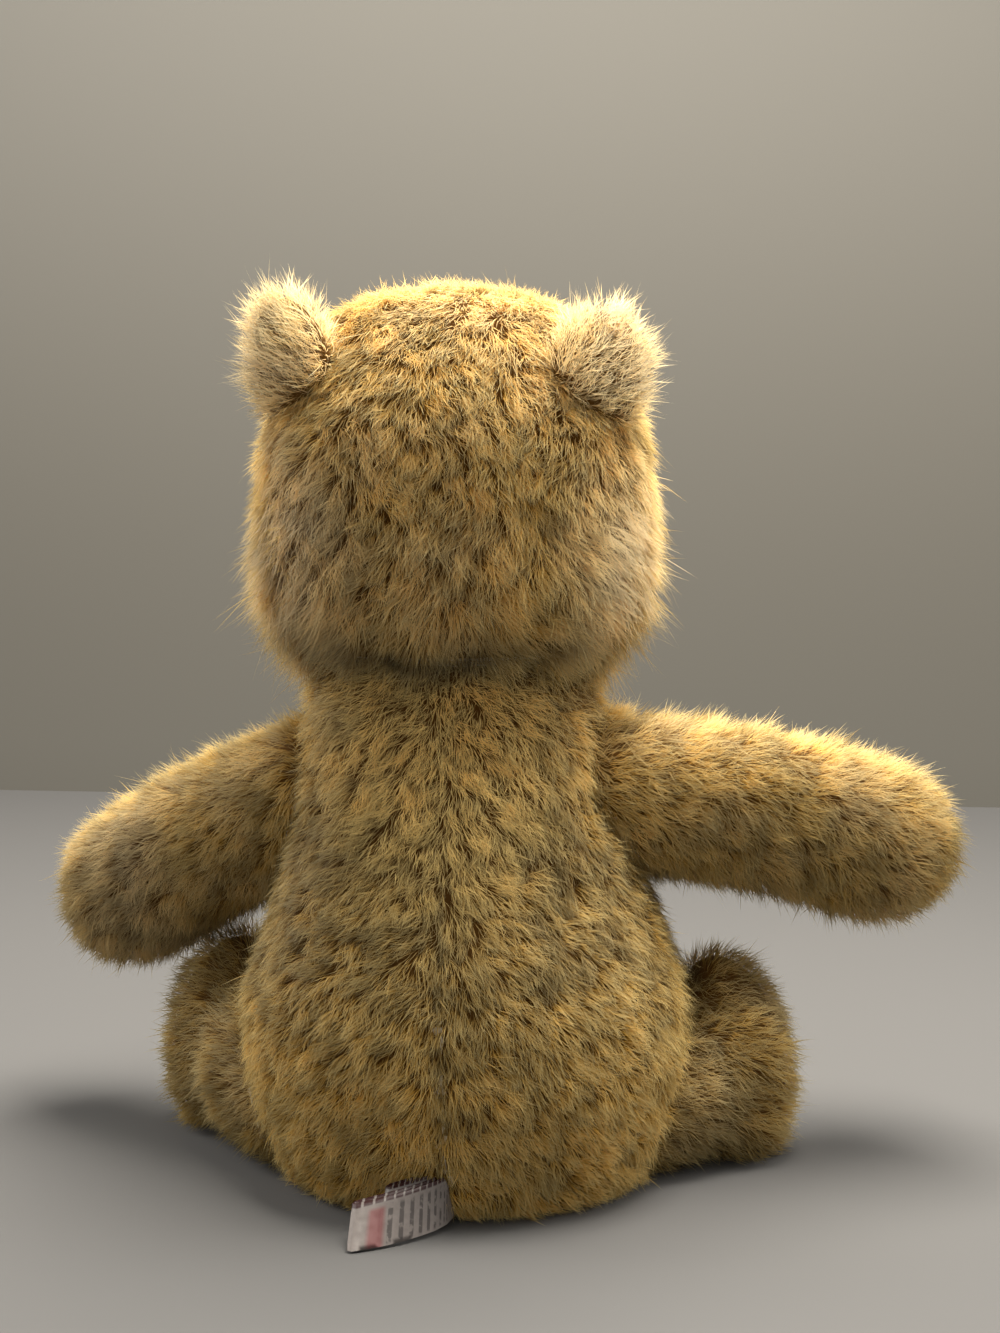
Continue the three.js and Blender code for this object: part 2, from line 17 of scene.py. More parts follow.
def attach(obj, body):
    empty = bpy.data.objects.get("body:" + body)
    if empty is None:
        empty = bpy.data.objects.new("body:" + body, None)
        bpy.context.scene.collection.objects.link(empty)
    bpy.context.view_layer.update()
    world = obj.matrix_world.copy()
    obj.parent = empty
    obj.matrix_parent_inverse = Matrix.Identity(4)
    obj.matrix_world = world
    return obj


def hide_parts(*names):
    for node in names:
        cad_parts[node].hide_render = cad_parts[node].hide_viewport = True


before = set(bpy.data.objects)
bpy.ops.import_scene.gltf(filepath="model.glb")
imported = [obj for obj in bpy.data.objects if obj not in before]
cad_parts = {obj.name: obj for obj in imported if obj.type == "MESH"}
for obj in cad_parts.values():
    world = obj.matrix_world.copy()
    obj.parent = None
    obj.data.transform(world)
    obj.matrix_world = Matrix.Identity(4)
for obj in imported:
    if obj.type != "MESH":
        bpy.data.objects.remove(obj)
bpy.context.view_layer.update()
MM = 0.001
SIDES = {"left": 1, "right": -1}
HEAD_ASIDE = 0.005
NECK_HEIGHT = 0.1745

# %% [markdown]
# ## Camera
# The photo is taken from behind, a little to the bear's right, from just above its head and with a
# moderately long lens. The frame is upright, so the lens is measured on its long side. The camera's
# place is worked out from its distance, its step aside and its turn, because those are what one
# adjusts when a render is laid over a photo.

# %% Camera
FRAME_WIDE, FRAME_HIGH = 1000, 1333
FOCAL_PIXELS = 2240
SENSOR = 36
CAMERA_DISTANCE = 0.734
CAMERA_ASIDE = 0.0113
CAMERA_HEIGHT = 0.25
CAMERA_TURN = math.radians(6)
CAMERA_PITCH = math.radians(6.28)

looking = Vector((math.sin(CAMERA_TURN), -math.cos(CAMERA_TURN), 0))
rightwards = Vector((-math.cos(CAMERA_TURN), -math.sin(CAMERA_TURN), 0))
bpy.ops.object.select_all(action="DESELECT")
bpy.ops.object.camera_add(
    location=rightwards * CAMERA_ASIDE - looking * CAMERA_DISTANCE + Vector((0, 0, CAMERA_HEIGHT)),
    rotation=(math.pi / 2 - CAMERA_PITCH, 0, math.pi + CAMERA_TURN))
camera = bpy.context.object
camera.name = camera.data.name = "camera"
camera.data.sensor_width = SENSOR
camera.data.lens = FOCAL_PIXELS / max(FRAME_WIDE, FRAME_HIGH) * SENSOR
camera.data.clip_start = 0.05
bpy.context.scene.camera = camera
bpy.context.scene.view_settings.view_transform = "Standard"
print("camera at", [round(v, 3) for v in camera.location])

# %% [markdown]
# ## A small language for shaders
# Shader maths reads better as sums than as a list of boxes. A Wire holds one output socket; adding or
# multiplying wires adds Math nodes, and its node method makes any other kind of node.


# %% Wires
class Wire:
    """An output socket that can stand in Python sums."""

    def __init__(self, socket):
        self.socket = socket

    def node(self, kind, settings=None, sockets=None, out=0):
        """Adds a node of a kind: its settings first, then the values or wires of its sockets."""
        tree = self.socket.id_data
        made = tree.nodes.new("ShaderNode" + kind)
        for name, value in (settings or {}).items():
            setattr(made, name, value)
        for name, value in (sockets or {}).items():
            if isinstance(value, Wire):
                tree.links.new(value.socket, made.inputs[name])
            else:
                made.inputs[name].default_value = value
        return Wire(made.outputs[out])

    def sum(self, operation, first, second=0.0):
        return self.node("Math", {"operation": operation}, {0: first, 1: second})

    def __add__(self, other):
        return self.sum("ADD", self, other)

    __radd__ = __add__

    def __sub__(self, other):
        return self.sum("SUBTRACT", self, other)

    def __rsub__(self, other):
        return self.sum("SUBTRACT", other, self)

    def __mul__(self, other):
        return self.sum("MULTIPLY", self, other)

    __rmul__ = __mul__

    def __pow__(self, other):
        return self.sum("POWER", self, other)

    def __abs__(self):
        return self.sum("ABSOLUTE", self)

    def sine(self):
        return self.sum("SINE", self)

    def mix(self, start, end):
        """A colour between two others, by this wire."""
        return self.node("Mix", {"data_type": "RGBA"}, {0: self, 6: start, 7: end}, out=2)

    def scaled(self, by):
        """This colour made brighter or darker."""
        return self.node("VectorMath", {"operation": "SCALE"}, {0: self, "Scale": by})

    def between(self, low, high):
        """This wire stretched so that low becomes 0 and high becomes 1, and no further."""
        return self.node("MapRange", {}, {0: self, 1: low, 2: high})

    def noise(self, scale, detail=2.0):
        """A soft random pattern over this wire's coordinates, from 0 to 1."""
        return self.node("TexNoise", {}, {"Vector": self, "Scale": scale, "Detail": detail, "Roughness": 0.5})

    def axis(self, number):
        """One of this wire's coordinates: 0 is x, 1 is y and 2 is z."""
        return self.node("SeparateXYZ", {}, {0: self}, out=number)

    def far_from(self, place):
        """How far this wire's coordinates are from a place."""
        return self.node("VectorMath", {"operation": "DISTANCE"}, {0: self, 1: place}, out=1)

    def attribute(self, name):
        """A number that is stored on the points of the mesh."""
        return self.node("Attribute", {"attribute_name": name}, out=2)


def rgb(red, green, blue):
    """A screen colour of 0 to 255 as the linear colour that shaders use."""
    share = [v / 255 for v in (red, green, blue)]
    return tuple(v / 12.92 if v <= 0.04045 else ((v + 0.055) / 1.055) ** 2.4 for v in share) + (1,)


def new_finish(name, **fixed):
    """A material with one shader: the wire of its own coordinates, and a way to plug wires in."""
    look = bpy.data.materials.new(name)
    look.use_nodes = True
    tree = look.node_tree
    shader = tree.nodes["Principled BSDF"]
    for socket, value in fixed.items():
        shader.inputs[socket.replace("_", " ")].default_value = value
    coordinates = Wire(tree.nodes.new("ShaderNodeTexCoord").outputs["Object"])

    def plug(socket, wire):
        tree.links.new(wire.socket, shader.inputs[socket])

    return look, coordinates, plug


def mix_in(look, share, other):
    """Lets another shader take a share of a finish."""
    tree = look.node_tree
    shader = Wire(tree.nodes["Principled BSDF"].outputs[0])
    both = share.node("MixShader", {}, {0: share, 1: shader, 2: other})
    tree.links.new(both.socket, tree.nodes["Material Output"].inputs[0])


print("middle grey is", round(rgb(128, 128, 128)[0], 3), "in linear light")

# %% [markdown]
# ## Stage
# The bear sits on a plain floor in front of a plain grey wall, whose colour is painted paler towards the top as
# painted light. Both are flat planes. Their own colours are darker than they look, because the lamps are strong
# enough to light the deep pile. The wall is clear when it is looked at from behind, so that it doesn't hide the
# bear's front.

# %% Stage
FLOOR_BACK = -0.735
WALL_BACK = FLOOR_BACK - 0.25
WALL_RISE = 0.62


def stage_plane(name, size, place, turn, look):
    bpy.ops.object.select_all(action="DESELECT")
    bpy.ops.mesh.primitive_plane_add(size=1, location=place, rotation=turn)
    plane = bpy.context.object
    plane.name = plane.data.name = name
    plane.scale = size
    bpy.ops.object.transform_apply()
    plane.data.materials.append(look)


floor_look = new_finish("pale floor", Base_Color=rgb(90, 89, 88), Roughness=0.75, Specular_IOR_Level=0.2)[0]
wall_look, at, plug = new_finish("grey wall", Roughness=0.75, Specular_IOR_Level=0.2)
# Painted light: the wall's colour grows paler towards the top.
plug("Base Color", (at.axis(2).between(0.0, WALL_RISE) ** 1.9).mix(rgb(98, 95, 88), rgb(136, 133, 126)))
mix_in(wall_look, at.node("NewGeometry", out="Backfacing"), at.node("BsdfTransparent"))
stage_plane("floor", (6, 4, 1), (0, FLOOR_BACK + 2, -0.0005), (0, 0, 0), floor_look)
stage_plane("wall", (8, 4, 1), (0, WALL_BACK, 1.2), (-math.pi / 2, 0, 0), wall_look)
print("floor ends at", FLOOR_BACK, "and the wall stands at", WALL_BACK)

# %% [markdown]
# ## Light
# One broad soft lamp hangs high over the bear and a little beyond it, so that the crown, ears and
# shoulders are lit from above and the back lies in half shade. Two weak lamps beside it pick out the
# cheeks, and an even world fills the side that is seen.

# %% Lamps and world
LAMP_AIM = Vector((0, 0, 0.15))


def soft_lamp(name, place, size, watts, colour):
    turn = (LAMP_AIM - Vector(place)).to_track_quat("-Z", "Y").to_euler()
    bpy.ops.object.select_all(action="DESELECT")
    bpy.ops.object.light_add(type="AREA", location=place, rotation=turn)
    lamp = bpy.context.object
    lamp.name = lamp.data.name = name
    lamp.data.shape, lamp.data.size, lamp.data.size_y = "RECTANGLE", *size
    lamp.data.energy, lamp.data.color = watts, colour
    print(name, watts, "W")


soft_lamp("ceiling lamp", (-0.14, -0.12, 0.98), (0.7, 0.5), 34, (1, 0.95, 0.86))
soft_lamp("right lamp", (-1.0, -0.2, 0.7), (0.5, 0.5), 7, (1, 0.97, 0.92))
soft_lamp("left lamp", (1.0, -0.25, 0.7), (0.5, 0.5), 9.5, (1, 0.97, 0.92))
world = bpy.data.worlds.new("room")
bpy.context.scene.world = world
world.use_nodes = True
world.node_tree.nodes["Background"].inputs["Color"].default_value = (1, 0.98, 0.94, 1)
world.node_tree.nodes["Background"].inputs["Strength"].default_value = 0.56

# %% [markdown]
# ## Stuffed covers
# Under the pile a plush bear is cloth pulled tight round stuffing, so every form is a little swollen
# and pinched where it is sewn. A sculpted lump would miss that tension. So each cover starts as a copy
# of its panels and stuffing joined together, is remeshed to even cloth, drawn in, and blown up by a
# short cloth simulation. It is kept just outside its stuffing, and above the floor.

# %% Blow up a cover
VOXEL = 4.5 * MM
SIM_FRAMES = 20
PRESSURE = 4
STUFFING_REACH = 4 * MM
OVER_STUFFING = 0.8 * MM
OVER_FLOOR = 0.3 * MM


def only(piece):
    """Makes one object the only selected one, and the active one."""
    bpy.ops.object.select_all(action="DESELECT")
    piece.select_set(True)
    bpy.context.view_layer.objects.active = piece


def places_of(mesh, what="vertices", value="co"):
    found = np.empty(len(getattr(mesh, what)) * 3, np.float32)
    getattr(mesh, what).foreach_get(value, found)
    return found.reshape(-1, 3).astype(np.float64)


def set_places(mesh, places):
    mesh.vertices.foreach_set("co", places.astype(np.float32).ravel())
    mesh.update()


def store(mesh, **values):
    """Stores numbers on the points of a mesh, for its finish to read."""
    for name, value in values.items():
        mesh.attributes.new(name, "FLOAT", "POINT").data.foreach_set("value", value.astype(np.float32))


def add_modifier(piece, kind, **settings):
    made = piece.modifiers.new(kind, kind)
    for name, value in settings.items():
        setattr(made, name, value)
    return made


def apply_modifier(piece, kind, **settings):
    only(piece)
    made = add_modifier(piece, kind, **settings)
    bpy.ops.object.modifier_apply(modifier=made.name)


def tree_of(mesh):
    """A search tree over a mesh, also of a piece that is hidden."""
    return BVHTree.FromPolygons([v.co for v in mesh.vertices], [face.vertices[:] for face in mesh.polygons])


def near_node(points, reach, *names):
    """Which points lie within reach of a CAD node."""
    out = np.zeros(len(points), bool)
    for name in names:
        tree = tree_of(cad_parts[name].data)
        out |= np.array([tree.find_nearest(point, reach)[0] is not None for point in points], bool)
    return out


def copy_joined(name, sources):
    """A copy of some CAD nodes as one new object, with its doubled points merged."""
    bpy.ops.object.select_all(action="DESELECT")
    for source in sources:
        part = bpy.data.objects.new(name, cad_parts[source].data.copy())
        bpy.context.collection.objects.link(part)
        part.select_set(True)
        bpy.context.view_layer.objects.active = part
    if len(sources) > 1:
        bpy.ops.object.join()
    copy = bpy.context.object
    copy.name = copy.data.name = name
    copy.data.materials.clear()
    bpy.ops.object.mode_set(mode="EDIT")
    bpy.ops.mesh.select_all(action="SELECT")
    bpy.ops.mesh.remove_doubles(threshold=1e-5)
    bpy.ops.object.mode_set(mode="OBJECT")
    return copy


def swell(piece, cap):
    """Blows a closed cover up with a short cloth simulation, no point further than the cap."""
    before = places_of(piece.data)
    only(piece)
    cloth = add_modifier(piece, "CLOTH")
    cloth.settings.use_pressure = True
    cloth.settings.uniform_pressure_force = PRESSURE
    cloth.settings.effector_weights.gravity = 0
    cloth.point_cache.frame_end = SIM_FRAMES
    for step in range(1, SIM_FRAMES + 1):
        bpy.context.scene.frame_set(step)
    bpy.ops.object.modifier_apply(modifier=cloth.name)
    bpy.context.scene.frame_set(1)
    moved = places_of(piece.data) - before
    far = np.linalg.norm(moved, axis=1, keepdims=True)
    set_places(piece.data, before + moved * np.minimum(1, cap / np.maximum(far, 1e-9)))
    return float(np.minimum(far, cap).mean())


def keep_over(places, stuffing):
    """Moves the points that lie in the stuffing, or in the floor, just outside it."""
    if stuffing:
        filling = tree_of(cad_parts[stuffing].data)
        for i, place in enumerate(places):
            spot, normal, _, _ = filling.find_nearest(place, STUFFING_REACH)
            if spot is not None and (Vector(place) - spot).dot(normal) < OVER_STUFFING:
                places[i] = spot + normal * OVER_STUFFING
    places[:, 2] = np.maximum(places[:, 2], OVER_FLOOR)
    return places


def stuffed_cover(name, stuffing, replaced, grow=-2 * MM, cap=2 * MM, voxel=VOXEL, hull=False,
                  sewn_to=(), sunk=(0, 0, 0)):
    """A swollen cloth cover shaped from sewn panels and their stuffing, which stands for those panels.
    Where it is sewn to other panels it is sunk into them, so that no gap shows."""
    cover = copy_joined(name, replaced + [stuffing] * bool(stuffing))
    if hull:
        bpy.ops.object.mode_set(mode="EDIT")
        bpy.ops.mesh.select_all(action="SELECT")
        bpy.ops.mesh.convex_hull()
        bpy.ops.object.mode_set(mode="OBJECT")
    places = places_of(cover.data)
    places[near_node(places, 1 * MM, *sewn_to)] += np.array(sunk) * MM
    set_places(cover.data, places)
    apply_modifier(cover, "REMESH", mode="VOXEL", voxel_size=voxel)
    normals = places_of(cover.data, "vertex_normals", "vector")
    set_places(cover.data, places_of(cover.data) + normals * grow)
    swollen_by = swell(cover, cap)
    apply_modifier(cover, "SMOOTH", factor=0.5, iterations=3)
    apply_modifier(cover, "SUBSURF", levels=1, render_levels=1)
    set_places(cover.data, keep_over(places_of(cover.data), stuffing))
    bpy.ops.object.shade_smooth()
    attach(cover, "root")
    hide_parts(*replaced)
    print(name, len(cover.data.polygons), "faces, swollen by", round(swollen_by / MM, 2), "mm")
    return cover


# %% [markdown]
# ## The bear's nine covers
# The torso and head are closed bags. The muzzle, arms and legs are sewn onto them, so their open ends
# are sunk into the larger bag. The ears are thin and hollow, so theirs are made from their outer hull.

# %% Make the covers
TORSO_PANELS = ["torso_belly", "torso_back_left", "torso_back_right"]
HEAD_PANELS = ["head_side_left", "head_side_right", "head_gusset"]
covers = {
    "torso": stuffed_cover("torso_cover", "torso_stuffing", TORSO_PANELS),
    "head": stuffed_cover("head_cover", "head_stuffing", HEAD_PANELS),
    "muzzle": stuffed_cover("muzzle_cover", None, ["muzzle"], -2.2 * MM, 1.2 * MM, 3 * MM,
                            sewn_to=HEAD_PANELS, sunk=(0, 5, 0)),
}
for side, sign in SIDES.items():
    covers["arm_" + side] = stuffed_cover(
        f"arm_{side}_cover", f"arm_{side}_stuffing", [f"arm_{side}_outer", f"arm_{side}_inner"],
        sewn_to=TORSO_PANELS, sunk=(-9 * sign, 0, 2))
    covers["leg_" + side] = stuffed_cover(
        f"leg_{side}_cover", f"leg_{side}_stuffing",
        [f"leg_{side}_outer", f"leg_{side}_inner", f"leg_{side}_sole"],
        sewn_to=TORSO_PANELS, sunk=(-7 * sign, 5, 0))
    covers["ear_" + side] = stuffed_cover(
        f"ear_{side}_cover", None, [f"ear_{side}_front", f"ear_{side}_back"],
        -1.5 * MM, 1.0 * MM, 2.5 * MM, hull=True)
print(len(covers), "covers")

# %% [markdown]
# ## The back seam
# The two back panels meet in a seam from the seat to the shoulders. Its thread draws the cloth in a
# little, and with age it no longer runs straight. A remeshed cover has lost so fine a line, so it is
# pressed in afterwards, along a wavy path.

# %% Draw in the back seam
SEAM_HALF = 4 * MM
SEAM_DEPTH = 0.9 * MM
SEAM_TOP, SEAM_FADE = 0.15, 0.04


def seam_at(height):
    """How far the worn back seam has wandered aside at a height."""
    return 0.0015 * np.sin(height * 330) + 0.001 * np.sin(height * 810)


torso = covers["torso"].data
places = places_of(torso)
aside = np.abs(places[:, 0] - seam_at(places[:, 2]))
depth = np.exp(-((aside / SEAM_HALF) ** 2)) * np.clip((SEAM_TOP - places[:, 2]) / SEAM_FADE, 0, 1)
depth = depth * (places[:, 1] > 0)
set_places(torso, places - places_of(torso, "vertex_normals", "vector") * (depth * SEAM_DEPTH)[:, None])
print("seam drawn in along", int((depth > 0.5).sum()), "points")

# %% [markdown]
# ## Pile
# The coat is what the bear is made of to the eye, so it is grown as geometry: each strand is a bent,
# tapered blade that stands out of the cover, leans the way its panel was combed and gathers with its
# neighbours into tufts. Strands are made in bulk with arrays, since no hand tool places them this
# finely and evenly. First come the tufts: space is cut into cells, each with a random middle, and a
# strand belongs to the nearest one.


# %% Random tufts
def scatter(cells, seed):
    """Three random numbers from 0 to 1 for each whole-numbered cell, always the same."""
    mixed = (cells.astype(np.int64) * np.array([73856093, 19349663, 83492791])).sum(1) + seed * 7919
    out = []
    for turn in range(3):
        mixed = (mixed ^ (mixed >> 13)) * 1274126177 % 2147483647
        out.append(mixed % 65521 / 65521)
    return np.stack(out, 1)


def tufts(points, size, seed):
    """The middle of the tuft each point belongs to, and three random numbers of that tuft."""
    cell = np.floor(points / size).astype(np.int64)
    best = np.full(len(points), np.inf)
    middle, dice = np.zeros_like(points), np.zeros_like(points)
    for dx in (-1, 0, 1):
        for dy in (-1, 0, 1):
            for dz in (-1, 0, 1):
                near = cell + (dx, dy, dz)
                spot = (near + scatter(near, seed)) * size
                far = ((spot - points) ** 2).sum(1)
                closer = far < best
                best[closer], middle[closer] = far[closer], spot[closer]
                dice[closer] = scatter(near[closer], seed + 1)
    return middle, dice


def unit(vectors):
    return vectors / np.maximum(np.linalg.norm(vectors, axis=1, keepdims=True), 1e-12)


# %% [markdown]
# ## Roots
# Strands grow evenly over the cloth, so each root is thrown on a face with a chance that follows the
# face's area. Cloth that lies inside another form grows none. Whether a point is inside is found by
# counting how often a ray from it leaves the other cover: an odd count means inside.

# %% Sample a cover
inside_of = {name: tree_of(cover.data) for name, cover in covers.items()}
print(len(inside_of), "search trees")


def buried(points, name):
    """Which points lie inside a cover: those from which a ray leaves it an odd number of times."""
    tree = inside_of[name]
    places = places_of(covers[name].data)
    out = ((points > places.min(0)) & (points < places.max(0))).all(1)
    ahead = Vector((0.13, 0.27, 0.95)).normalized()
    for i in np.flatnonzero(out):
        start, crossed = Vector(points[i]), 0
        while (hit := tree.ray_cast(start, ahead)[0]) is not None:
            start, crossed = hit + ahead * 1e-5, crossed + 1
        out[i] = crossed % 2
    return out


def roots_on(name, neighbours, per_mm2, dice, wanted):
    """Random roots on the open surface of a cover, with their normals."""
    mesh = covers[name].data
    mesh.calc_loop_triangles()
    corners = np.empty(len(mesh.loop_triangles) * 3, np.int32)
    mesh.loop_triangles.foreach_get("vertices", corners)
    corners = corners.reshape(-1, 3)
    places = places_of(mesh)
    normals = places_of(mesh, "vertex_normals", "vector")
    a, b, c = (places[corners[:, k]] for k in range(3))
    area = np.linalg.norm(np.cross(b - a, c - a), axis=1) / 2
    middle, facing = (a + b + c) / 3, unit(normals[corners].mean(1))
    area = area * wanted(middle, facing)
    for neighbour in neighbours:
        open_to = area > 0
        area[open_to] *= ~buried(middle[open_to], neighbour)
    count = int(area.sum() / MM**2 * per_mm2)
    picked = dice.choice(len(area), count, p=area / area.sum())
    u, v = dice.random((2, count))
    over = u + v > 1
    u[over], v[over] = 1 - u[over], 1 - v[over]
    weights = np.stack([1 - u - v, u, v], 1)[:, :, None]
    return (places[corners[picked]] * weights).sum(1), unit((normals[corners[picked]] * weights).sum(1))


# %% [markdown]
# ## Strands
# A strand is a kite of two triangles: a point at the root, its full width at the bend and a point at
# the tip. That is the least that can bend and taper, and there are hundreds of thousands of them.
# Each keeps two numbers for its finish: how far along it a point is, and a number of its tuft.

# %% Strands
COARSE_TUFT, FINE_TUFT = 7 * MM, 2.2 * MM
ROOT_DEPTH = 0.5 * MM
STRAND_WIDTH = 0.22 * MM
PILE_OVER_FLOOR = 0.25 * MM
UNDERSIDE = 2 * MM
KITE = [0, 2, 1, 1, 2, 3]
grown = []


def strand_mesh(name, root, middle, tip, half, soft, tuft):
    """One mesh of bent blades, each of two triangles, that is widest in its middle."""
    count = len(root)
    places = np.stack([root, middle - half, middle + half, tip], 1)
    loops = (np.arange(count)[:, None] * 4 + KITE).ravel()
    mesh = bpy.data.meshes.new(name)
    mesh.vertices.add(count * 4)
    mesh.loops.add(count * 6)
    mesh.polygons.add(count * 2)
    mesh.vertices.foreach_set("co", places.astype(np.float32).ravel())
    mesh.loops.foreach_set("vertex_index", loops.astype(np.int32))
    mesh.polygons.foreach_set("loop_start", np.arange(count * 2, dtype=np.int32) * 3)
    mesh.update(calc_edges=True)
    store(mesh, along=np.tile([0, 0.5, 0.5, 1], count), tuft=np.repeat(tuft, 4))
    # Blades take most of their shading from the cloth below, as soft pile does.
    normals = np.repeat(soft.astype(np.float32), 4, axis=0)
    mesh.attributes.new("custom_normal", "FLOAT_VECTOR", "POINT").data.foreach_set("vector", normals.ravel())
    # Each strand has a small cell of its own on the map, beside the strands that grow near it.
    across_map = math.ceil(math.sqrt(count))
    order = np.lexsort((root[:, 0], np.floor(root[:, 2] / (4 * MM))))
    cell = np.empty(count, np.int64)
    cell[order] = np.arange(count)
    corner = np.stack([cell % across_map, cell // across_map], 1)[:, None, :]
    spots = np.array([[0.5, 0.08], [0.1, 0.5], [0.9, 0.5], [0.5, 0.92]])[KITE]
    uv = (corner + spots) / across_map
    mesh.uv_layers.new(name="OFBake").data.foreach_set("uv", uv.astype(np.float32).ravel())
    return mesh


def grow_pile(name, cover, neighbours, comb, look, seed, per_mm2=2.3, lift=lambda root: 0.1,
              wanted=lambda at, facing: 1.0):
    """Grows the pile of one panel. comb gives each root its way, lean, length, gather and frizz."""
    dice = np.random.default_rng(seed)

    def off_the_floor(at, facing):
        return wanted(at, facing) * ~((at[:, 2] < UNDERSIDE) & (facing[:, 2] < -0.5))

    def pull(target, share):
        flat = target - root
        flat -= normal * (flat * normal).sum(1, keepdims=True)
        return flat * share[:, None]

    def tilted(angle):
        return normal * np.cos(angle)[:, None] + way * np.sin(angle)[:, None]

    # Every tuft turns, leans and ends a little differently, and every strand differs within it.
    root, normal = roots_on(cover, neighbours, per_mm2, dice, off_the_floor)
    way, lean, length, gather, frizz = comb(root, normal)
    count = len(root)
    centre, tuft_dice = tufts(root, COARSE_TUFT, seed)
    fine_centre, fine_dice = tufts(root, FINE_TUFT, seed + 50)
    wisp = dice.random(count) < 0.015
    frizz = frizz * (0.6 + 0.8 * dice.random(count)) + 0.1 * wisp
    turn = (tuft_dice[:, 0] - 0.5) * 1.0 + (fine_dice[:, 0] - 0.5) * 1.0 + dice.normal(0, 0.2, count)
    way = unit(way - normal * (way * normal).sum(1, keepdims=True))
    way = way * np.cos(turn)[:, None] + np.cross(normal, way) * np.sin(turn)[:, None]
    lean = lean + (tuft_dice[:, 1] - 0.5) * 0.35 + (fine_dice[:, 1] - 0.5) * 0.3
    lean = np.clip(lean + dice.normal(0, 0.12, count) - 0.15 * wisp, -0.2, 1.3)
    length = length * (0.75 + 0.3 * tuft_dice[:, 2] + 0.25 * dice.random(count)) * (1 + 0.3 * wisp)

    # The lower half rises from the cloth, and the upper half bends over.
    loose = dice.normal(0, 1, (count, 3)) * (length * frizz)[:, None]
    gathered = pull(centre, 0.35 * gather) + pull(fine_centre, 0.65 * gather)
    half_way = (length / 2)[:, None]
    start = root - normal * ROOT_DEPTH
    middle = start + tilted(lean) * half_way + gathered * 0.35 + loose * 0.16
    tip = middle + tilted(np.minimum(lean + 0.45, 1.45)) * half_way + gathered * 0.65 + loose * 0.3
    for points in (start, middle, tip):
        points[:, 2] = np.maximum(points[:, 2], PILE_OVER_FLOOR)

    # A blade lies across its run, rolled at random, and shades much like the cloth.
    run = unit(tip - start)
    facing = unit(normal - run * (normal * run).sum(1, keepdims=True))
    flat = np.cross(run, facing)
    roll = dice.uniform(-0.9, 0.9, count)[:, None]
    wide = STRAND_WIDTH / 2 * (0.7 + 0.6 * dice.random(count))
    half = (flat * np.cos(roll) + facing * np.sin(roll)) * wide[:, None]
    blade = facing * np.cos(roll) - flat * np.sin(roll)
    soft = unit(normal + blade * 0.35 + np.outer(lift(root) * np.ones(count), [0, 0, 1]))
    tuft = 0.5 * tuft_dice[:, 0] + 0.3 * fine_dice[:, 2] + 0.2 * dice.random(count)
    mesh = strand_mesh(name, start, middle, tip, half, soft, tuft)
    pile = bpy.data.objects.new(name, mesh)
    bpy.context.collection.objects.link(pile)
    mesh.materials.append(look)
    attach(pile, "root")
    grown.append(count)
    print(name, count, "strands")


# %% [markdown]
# ## Plush finishes
# Old plush is darkest at its roots, where light hardly reaches, and bleached at its tips. Rubbed places are paler
# and greyer. Painted light makes the crown, the cheeks and the shoulders paler, painted shade darkens a band round
# the neck and a band across the middle of the back, and a seam shows in places. All of it follows the bear's own
# coordinates. Pile also lets light through, so a part of each strand is translucent, more of it towards the bright
# tips.


# %% Plush finishes
def pile_finish(name, root, middle, tip, grey, greyness, patches=(), level=1.0, seamed=False):
    """Pile that is dark at the root and faded at the tip, greyed where it is rubbed, paler in patches of painted
    light and darker in bands of painted shade.
    """
    look, at, plug = new_finish(name, Roughness=0.6, Specular_IOR_Level=0.2)
    along, tuft = at.attribute("along"), at.attribute("tuft")
    sideways, height = at.axis(0), at.axis(2)
    wear_and_painted_light = at.noise(32, 3).between(0.42, 0.7) * greyness
    # Each patch makes the pile round its centre paler: real wear at the nape and left paw, painted light at the
    # crown, cheeks and shoulders.
    for centre, radius, share in patches:
        wear_and_painted_light = wear_and_painted_light + at.far_from(centre).between(radius, radius * 0.3) * share
    colour = along.between(0.4, 0.9).mix(along.between(0.0, 0.4).mix(root, middle), tip)
    colour = wear_and_painted_light.between(0.0, 1.0).mix(colour, along.between(0.0, 0.6).mix(root, grey))
    # Painted shade: the pile is darkened in a band round the neck, most of all behind, where the head hangs over it.
    drop = height - NECK_HEIGHT + (at.noise(55, 2) - 0.5) * 0.02
    behind = abs(sideways - HEAD_ASIDE).between(0.05, 0.015)
    neck_shade = abs(drop).between(0.01, 0.001) * (behind * 0.7 + 0.3)
    bright = (tuft.between(0.2, 0.8) * 0.75 + 0.47) * (at.noise(75, 3).between(0.3, 0.7) * 0.5 + 0.75)
    bright = bright * level * (1 - neck_shade * (0.95 - along * 0.3))
    if seamed:
        # Painted shade darkens a band across the middle of the back, and painted light brightens the pile in the
        # shoulders' patch.
        back_shade_band = height.between(0.04, 0.075) * height.between(0.14, 0.11)
        bright = bright * (1 - back_shade_band * 0.42) * (wear_and_painted_light.between(0.3, 1.0) * 0.4 + 1)
        seam = abs(sideways + (at.noise(45, 2) - 0.5) * 0.012).between(0.0035, 0.0005)
        seam = seam * height.between(0.12, 0.08) * at.noise(130, 1).between(0.36, 0.56)
        bright = bright * (1 - seam * (0.7 - along * 0.35))
    plug("Base Color", colour.scaled(bright))
    glow = tuple((m + t) / 2 for m, t in zip(middle, tip))
    mix_in(look, along.between(0.0, 0.6) * bright * 0.5, at.node("BsdfTranslucent", {}, {"Color": glow}))
    return look


COAT = rgb(118, 72, 18), rgb(226, 174, 68), rgb(255, 235, 168)
GREY = rgb(250, 230, 186)
